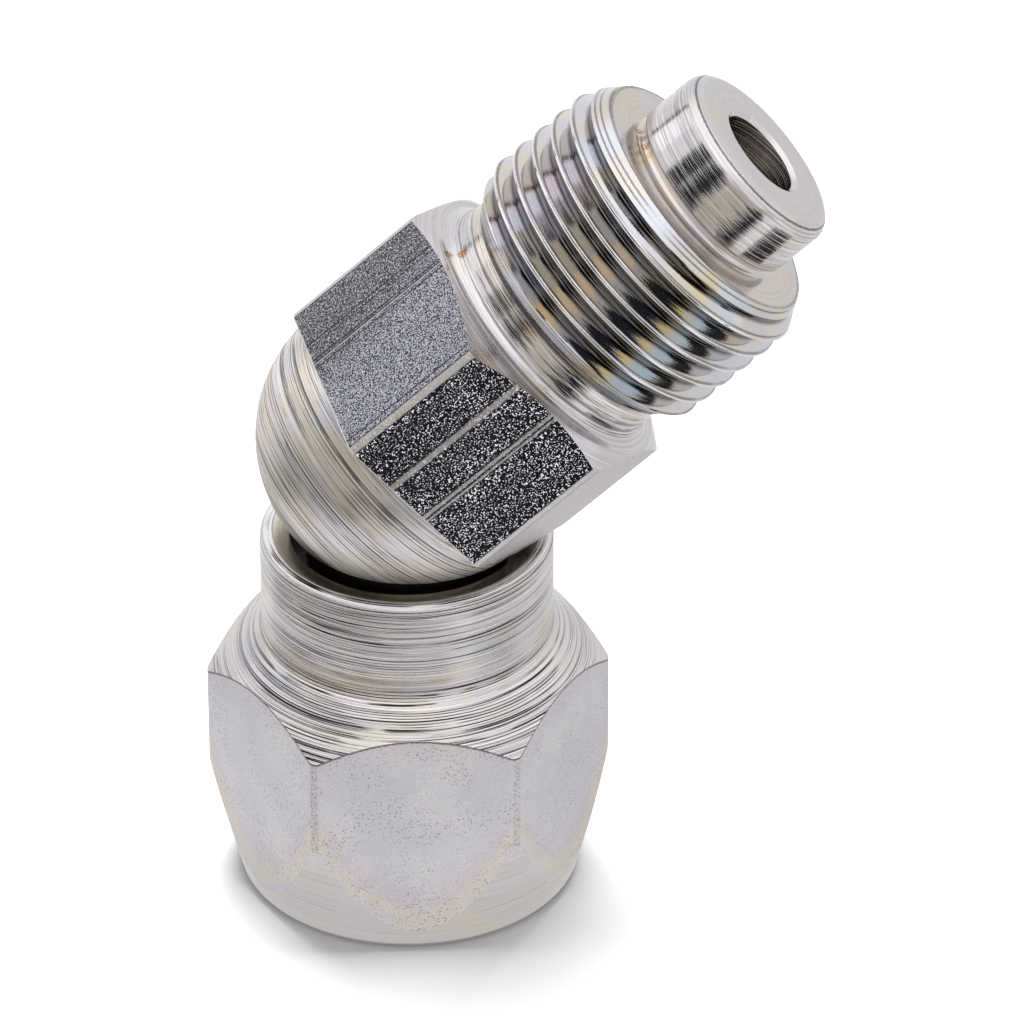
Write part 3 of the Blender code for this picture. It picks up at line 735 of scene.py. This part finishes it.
def elbow_profile():
    bar = ELBOW_FLATS / math.sqrt(3)
    edge = math.degrees(math.asin((HEX_BACK - BALL_OFFSET) / BALL_RADIUS))
    profile = [(0, BALL_OFFSET - BALL_RADIUS)]
    profile += arc(0, BALL_OFFSET, BALL_RADIUS, -90, edge, 72)[1:]
    chamfer = (bar - HEX_FACE_RADIUS) * math.tan(HEX_CHAMFER)
    profile += [(bar, HEX_BACK), (bar, HEX_FRONT - chamfer), (HEX_FACE_RADIUS, HEX_FRONT)]
    profile += arc(NECK_RADIUS + NECK_FILLET, HEX_FRONT + NECK_FILLET, NECK_FILLET, -90, -180, 12)
    core = PORT_ROOT - 0.45
    profile += [(NECK_RADIUS, THREAD_BACK), (core, THREAD_BACK + 0.02), (core, SHOULDER - 0.4),
                (NOSE_RADIUS + 0.4, SHOULDER - 0.4), (NOSE_RADIUS - 0.1, SHOULDER)]
    profile += arc(NOSE_RADIUS, SHOULDER + NOSE_GROOVE_WIDTH / 2, NOSE_GROOVE, -135, -225, 8)
    profile += [(NOSE_RADIUS, SHOULDER + NOSE_GROOVE_WIDTH)]
    profile += arc(NOSE_RADIUS - NOSE_EDGE, NOSE_END - NOSE_EDGE, NOSE_EDGE, 0, 90, 12)
    return profile + [(0, NOSE_END)]


def elbow_stays_sharp(p):
    """True where an edge of the elbow isn't rounded: ball edge, thread, bore and port."""
    if abs(p.z - HEX_BACK) < 0.08 or THREAD_BACK - 0.1 < p.z < SHOULDER + 0.05:
        return True
    in_port = (ELBOW_FRAME @ p).z > SPOT_FACE + 0.2 and p.z < 0
    return in_port or math.hypot(p.x, p.y) < BORE_RADIUS + 0.2


def make_elbow():
    bar = hexagon_bar(ELBOW_FLATS, -14, NOSE_END + 2, ELBOW_CORNER, ELBOW_TURN)
    elbow = to_object("elbow_shell", bar)
    carve(elbow, to_object("envelope", spun(elbow_profile())), "INTERSECT")
    bore = [(0, -BORE_RADIUS)] + arc(0, 0, BORE_RADIUS, -90, 0, 12)[1:]
    for i in range(9):
        low = 2.0 + i * 3.4
        bore += [(BORE_RADIUS, low), (BORE_RADIUS + 0.03, low + 0.15), (BORE_RADIUS, low + 0.3)]
    bore += [(BORE_RADIUS, NOSE_END - BORE_CHAMFER), (BORE_RADIUS + BORE_CHAMFER, NOSE_END),
             (BORE_RADIUS + BORE_CHAMFER + 2, NOSE_END + 2), (0, NOSE_END + 2)]
    carve(elbow, to_object("bore", spun(bore, 128)), "DIFFERENCE")
    reach = BALL_RADIUS + 2
    cone = TAIL_PORT_RADIUS - BORE_RADIUS
    port = [(0, SPOT_FACE - reach), (reach, SPOT_FACE - reach), (reach, SPOT_FACE),
            (GLAND_RADIUS, SPOT_FACE), (GLAND_RADIUS, GLAND_TOP), (TAIL_PORT_RADIUS, GLAND_TOP),
            (TAIL_PORT_RADIUS, TAIL_PORT_TOP), (BORE_RADIUS, TAIL_PORT_TOP + cone / 2),
            (BORE_RADIUS, CROSSING), (0, CROSSING)]
    tool = to_object("port", spun(port, 128))
    tool.data.transform(ELBOW_FRAME.inverted() @ NUT_FRAME)
    carve(elbow, tool, "DIFFERENCE")
    soften(elbow, 0.10, elbow_stays_sharp)
    return elbow


# Places of the finishes in what dress gets for the elbow and for the nut
TURNED, BALL, BAR, BORED, NECK = range(5)
NUT_TURNED, NUT_FLAT, NUT_PORT = range(3)


def elbow_face_finish(centre, normal):
    """Which finish a face of the elbow gets, from where it lies in the elbow's frame."""
    radius = math.hypot(centre.x, centre.y)
    above = (ELBOW_FRAME @ centre).z > SPOT_FACE + 0.01
    if radius < BORE_RADIUS + 0.12 and centre.z > 0:
        return BORED
    if radius < TAIL_PORT_RADIUS + 1.5 and centre.z < HEX_FRONT and above:
        return BORED
    if centre.z < HEX_BACK + 0.02:
        return BALL
    if centre.z < HEX_FRONT and abs(normal.z) < 0.05:
        return BAR
    return NECK if HEX_FRONT + 0.35 < centre.z < SHOULDER - 2 else TURNED


def nut_profile():
    corner = NUT_FLATS / math.sqrt(3)
    foot = SKIRT_RADIUS - SKIRT_EDGE * (1 - math.sin(SKIRT_SLOPE)) / math.cos(SKIRT_SLOPE)
    above_cone = COLLAR_FILLET * math.tan(math.radians(22.5))
    fillet = SHOULDER_CORNER + corner - COLLAR_RADIUS + above_cone
    skirt_top = (corner - SKIRT_RADIUS) / math.tan(SKIRT_SLOPE)
    profile = [(0, 0)] + arc(foot, SKIRT_EDGE, SKIRT_EDGE, -90, -math.degrees(SKIRT_SLOPE), 10)
    profile += [(corner, skirt_top), (corner, SHOULDER_CORNER)]
    profile += arc(COLLAR_RADIUS + COLLAR_FILLET, fillet, COLLAR_FILLET, -135, -180, 8)
    profile += arc(COLLAR_RADIUS - RIM_EDGE, RIM - RIM_EDGE, RIM_EDGE, 0, 80, 10)
    ridge_in = RIDGE_RADIUS - RIDGE_WIDTH
    profile += [(RIDGE_RADIUS + 0.10, RIM - 0.03), (RIDGE_RADIUS, RIM), (ridge_in + 0.06, RIM)]
    profile += [(ridge_in, RIM - RIDGE_STEP), (MOUTH_RADIUS, RIM - DISH_DEPTH)]
    return profile + [(0, RIM - DISH_DEPTH)]


def nut_stays_sharp(p):
    """True where an edge of the nut isn't rounded: foot, rim, mouth and port."""
    radius = math.hypot(p.x, p.y)
    if radius < MOUTH_RADIUS - 0.05 or p.z < 0.3 or p.z > RIM - 0.2:
        return True
    return radius < PORT_GROOVE + 0.1 and p.z < LIP_UNDERSIDE + 0.1


def make_nut():
    nut = to_object("nut_shell", hexagon_bar(NUT_FLATS, -2, RIM + 2, NUT_CORNER, NUT_TURN))
    carve(nut, to_object("envelope", spun(nut_profile())), "INTERSECT")
    bore = [(0, -2), (PORT_SINK, -2), (PORT_SINK, PORT_THREAD_TOP),
            (PORT_GROOVE, PORT_THREAD_TOP + 0.4), (PORT_GROOVE, PORT_GROOVE_TOP - 0.45),
            (PORT_ROOT, PORT_GROOVE_TOP), (PORT_ROOT, LIP_UNDERSIDE), (LIP_RADIUS, LIP_UNDERSIDE),
            (LIP_RADIUS, MOUTH_FLOOR), (MOUTH_RADIUS, MOUTH_FLOOR), (MOUTH_RADIUS, RIM + 2),
            (0, RIM + 2)]
    carve(nut, to_object("bore", spun(bore)), "DIFFERENCE")
    soften(nut, 0.08, nut_stays_sharp)
    return nut


def nut_face_finish(centre, normal):
    """Which finish a face of the nut gets, from where it lies in the nut's frame."""
    radius = math.hypot(centre.x, centre.y)
    if radius < PORT_GROOVE + 0.02 and 0.01 < centre.z < LIP_UNDERSIDE + 0.1:
        return NUT_PORT
    if radius < MOUTH_RADIUS + 0.02 and centre.z < RIM - DISH_DEPTH - 0.05:
        return NUT_PORT
    on_flat = abs(normal.z) < 0.02 and 0.8 < centre.z < 22 and radius > 12
    return NUT_FLAT if on_flat else NUT_TURNED


elbow = make_elbow()
dress(elbow, "elbow",
      (turned_zinc, ball_zinc, bar_flats, bore_steel, neck_zinc), elbow_face_finish, ELBOW_FRAME)
elbow_thread = make_elbow_thread()
dress(elbow_thread, "elbow", (bright_thread, turned_zinc),
      lambda centre, normal: int(centre.z > SHOULDER - 0.01), ELBOW_FRAME, 28)
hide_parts("elbow_body")
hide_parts("elbow_body")

nut = make_nut()
dress(nut, "nut", (nut_zinc, nut_flats, port_steel), nut_face_finish,
      NUT_FRAME)
nut_thread = make_nut_thread()
dress(nut_thread, "nut", (port_steel,), None, NUT_FRAME, 28)
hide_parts("swivel_nut")
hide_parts("swivel_nut")

INNER_FINISHES = {
    "spindle": plain_finish("fine_turned_steel", (0.24, 0.22, 0.20), 0.32, 1.0),
    "thrust_washer": plain_finish("bronze", (0.56, 0.40, 0.22), 0.45, 1.0),
    "spindle_o_ring": plain_finish("rubber", (0.02, 0.02, 0.02), 0.6, 0.0, grain=0.005),
    "backup_ring": plain_finish("ring_plastic", (0.80, 0.79, 0.75), 0.5, 0.0, grain=0.01),
    "seat_gasket": plain_finish("gasket_plastic", (0.80, 0.79, 0.75), 0.5, 0.0, grain=0.01),
}
for node, finish in INNER_FINISHES.items():
    piece = frame["nodes"][node]
    piece.data.materials.clear()
    piece.data.materials.append(finish)


def make_camera():
    direction = Vector((0, math.cos(CAMERA_ELEVATION), -math.sin(CAMERA_ELEVATION)))
    right = Vector((1, 0, 0))
    up = Vector((0, math.sin(CAMERA_ELEVATION), math.cos(CAMERA_ELEVATION)))
    rolled_right = math.cos(CAMERA_ROLL) * right + math.sin(CAMERA_ROLL) * up
    rolled_up = math.cos(CAMERA_ROLL) * up - math.sin(CAMERA_ROLL) * right
    matrix = Matrix.Identity(4)
    place = LOOK_AT - CAMERA_DISTANCE * direction
    for column, axis in enumerate((rolled_right, rolled_up, -direction, place)):
        for row in range(3):
            matrix[row][column] = axis[row]
    matrix = Matrix.Translation((AXIS_X, 0, 0)) @ Matrix.Rotation(CAMERA_TURN, 4, "Z") @ matrix
    matrix.translation *= MM
    data = bpy.data.cameras.new("camera")
    data.sensor_width = SENSOR_WIDTH
    data.sensor_fit = "HORIZONTAL"
    data.lens = FOCAL_PIXELS / PICTURE_PIXELS * SENSOR_WIDTH
    data.clip_start = 0.01
    data.clip_end = 50
    camera = bpy.data.objects.new("camera", data)
    camera.matrix_world = matrix
    bpy.context.scene.collection.objects.link(camera)
    bpy.context.scene.camera = camera


def make_floor():
    """White paper to the camera; mirrored in the metal it is pale, with a dark arc in front and a
    painted shadow round the nut's foot.
    """
    bm = bmesh.new()
    bmesh.ops.create_grid(bm, x_segments=1, y_segments=1, size=FLOOR_REACH)
    floor = to_object("floor", bm)
    floor.data.transform(Matrix.Scale(MM, 4))
    f = Finish("floor_white")
    f.own(Base_Color=(0.80, 0.80, 0.80), Roughness=0.9)
    paper = Signal(f, f.shader.outputs[0])
    x, y, _ = f.local((0, 0, 0), 0)
    reach = (x * x + y * y).math("SQRT")
    level = f.mix(f.step(reach, 90, 650), (PAPER_GLOW,) * 3, (FAR_GLOW,) * 3)
    glow = f.add("ShaderNodeEmission", None, {"Color": level})
    turn = x.math("ARCTAN2", y * -1) * (180 / math.pi)
    near = f.step(reach, 58, 64) * f.step(reach, 142, 134)
    near = near * f.step(turn, -118, -106) * f.step(turn, 27, 19)
    far = f.step(reach, 142, 158)
    right = f.step(turn, 62, 84) * f.step(turn, 170, 150)
    colour = f.mix(right, (0.95, 0.94, 0.94), (0.80, 0.79, 0.79))
    far_front = far * f.step(turn, 58, 44)
    colour = f.mix(far_front * f.step(turn, -104, -94), colour, (0.56, 0.54, 0.49))
    colour = f.mix(far_front * f.step(turn, -60, -54), colour, (0.92, 0.70, 0.45))
    colour = f.mix(far_front * f.step(turn, -40, -34), colour, (0.58, 0.54, 0.46))
    colour = f.mix(near, colour, (0.02, 0.02, 0.025))
    across, along = (x - 41) / 9, (y + 26) / 21
    colour = f.mix(f.step(across * across + along * along, 1.25, 0.8), colour, (0.03, 0.03, 0.03))
    # Painted shadow: the mirrored floor is darker round the nut's foot, where the nut's shadow
    # would be seen.
    beside = ((x - AXIS_X) * (x - AXIS_X) + y * y).math("SQRT")
    colour = f.mix(f.step(beside, 22, 12), colour, (0.76, 0.75, 0.74))
    mirrored = f.add("ShaderNodeEmission", None, {"Color": colour})
    camera_ray = f.add("ShaderNodeLightPath", output=0)
    glossy_ray = f.add("ShaderNodeLightPath", output=3)
    hidden = f.add("ShaderNodeMixShader", None, {0: glossy_ray, 1: paper, 2: mirrored})
    seen = f.add("ShaderNodeAddShader", None, {0: paper, 1: glow})
    final = f.add("ShaderNodeMixShader", None, {0: camera_ray, 1: hidden, 2: seen})
    f.tree.links.new(final.socket, f.tree.nodes["Material Output"].inputs["Surface"])
    floor.data.materials.append(f.material)


# Panels of the room that the metal mirrors, in degrees: to the right of the front, above the
# floor, how soft the edges are, and the colour
PANELS = (
    ((-131, -104), (18, 28), 4, (1.45, 1.42, 1.45)),
    ((-137, -131), (16, 30), 3, (0.05, 0.05, 0.06)),
    ((-107, -80), (7, 16.5), 4, (0.09, 0.10, 0.09)),
    ((-80, -38), (-20, 13), 4, (0.56, 0.54, 0.49)),
    ((-38, 12), (-2, 9), 6, (0.58, 0.54, 0.46)),
    ((-76, -50), (14, 33), 4, (0.015, 0.015, 0.02)),
    ((-53, -27), (0, 24), 4, (0.015, 0.015, 0.02)),
)


def band(w, angle, low, high, soft):
    """1 between two angles, with soft edges."""
    half = soft / 2
    return w.step(angle, low - half, low + half) * w.step(angle, high + half, high - half)


def make_world():
    """White to the camera and plain for shading; mirrored it is a pale room with panels."""
    world = bpy.data.worlds.new("studio")
    world.use_nodes = True
    bpy.context.scene.world = world
    w = Finish("studio", world.node_tree)
    direction = w.add("ShaderNodeTexCoord", output=0)
    x, y, z = [w.add("ShaderNodeSeparateXYZ", None, {"Vector": direction}, i) for i in range(3)]
    turn = x.math("ARCTAN2", y * -1) * (180 / math.pi)
    height = z.math("ARCSINE") * (180 / math.pi)
    room = w.mix(w.step(height, 24, 58), (0.92, 0.91, 0.92), (1.35, 1.34, 1.34))
    for (left, right), (low, high), soft, colour in PANELS:
        across = band(w, turn, left, right, soft)
        upward = band(w, height, low, high, soft)
        room = w.mix(across * upward, room, colour)
    plain = w.add("ShaderNodeBackground", None, {"Color": (1.0, 1.0, 1.0), "Strength": ROOM_LEVEL})
    white = w.add("ShaderNodeBackground", None, {"Color": (1.0, 1.0, 1.0), "Strength": 1.0})
    mirrored = w.add("ShaderNodeBackground", None, {"Color": room})
    camera_ray = w.add("ShaderNodeLightPath", output=0)
    glossy_ray = w.add("ShaderNodeLightPath", output=3)
    hidden = w.add("ShaderNodeMixShader", None, {0: glossy_ray, 1: plain, 2: mirrored})
    final = w.add("ShaderNodeMixShader", None, {0: camera_ray, 1: hidden, 2: white})
    w.tree.links.new(final.socket, w.tree.nodes["World Output"].inputs["Surface"])


def area_light(name, place, aim, size, energy):
    data = bpy.data.lights.new(name, "AREA")
    data.shape = "RECTANGLE"
    data.size, data.size_y = size
    data.energy = energy
    light = bpy.data.objects.new(name, data)
    light.location = place
    light.visible_glossy = False
    light.rotation_euler = (Vector(aim) - Vector(place)).to_track_quat("-Z", "Y").to_euler()
    bpy.context.scene.collection.objects.link(light)


make_camera()
make_floor()
make_world()
area_light("overhead", LAMP_PLACE, (0, 0, 0), LAMP_SIZE, LAMP_POWER)
bpy.context.scene.view_settings.view_transform = "Standard"
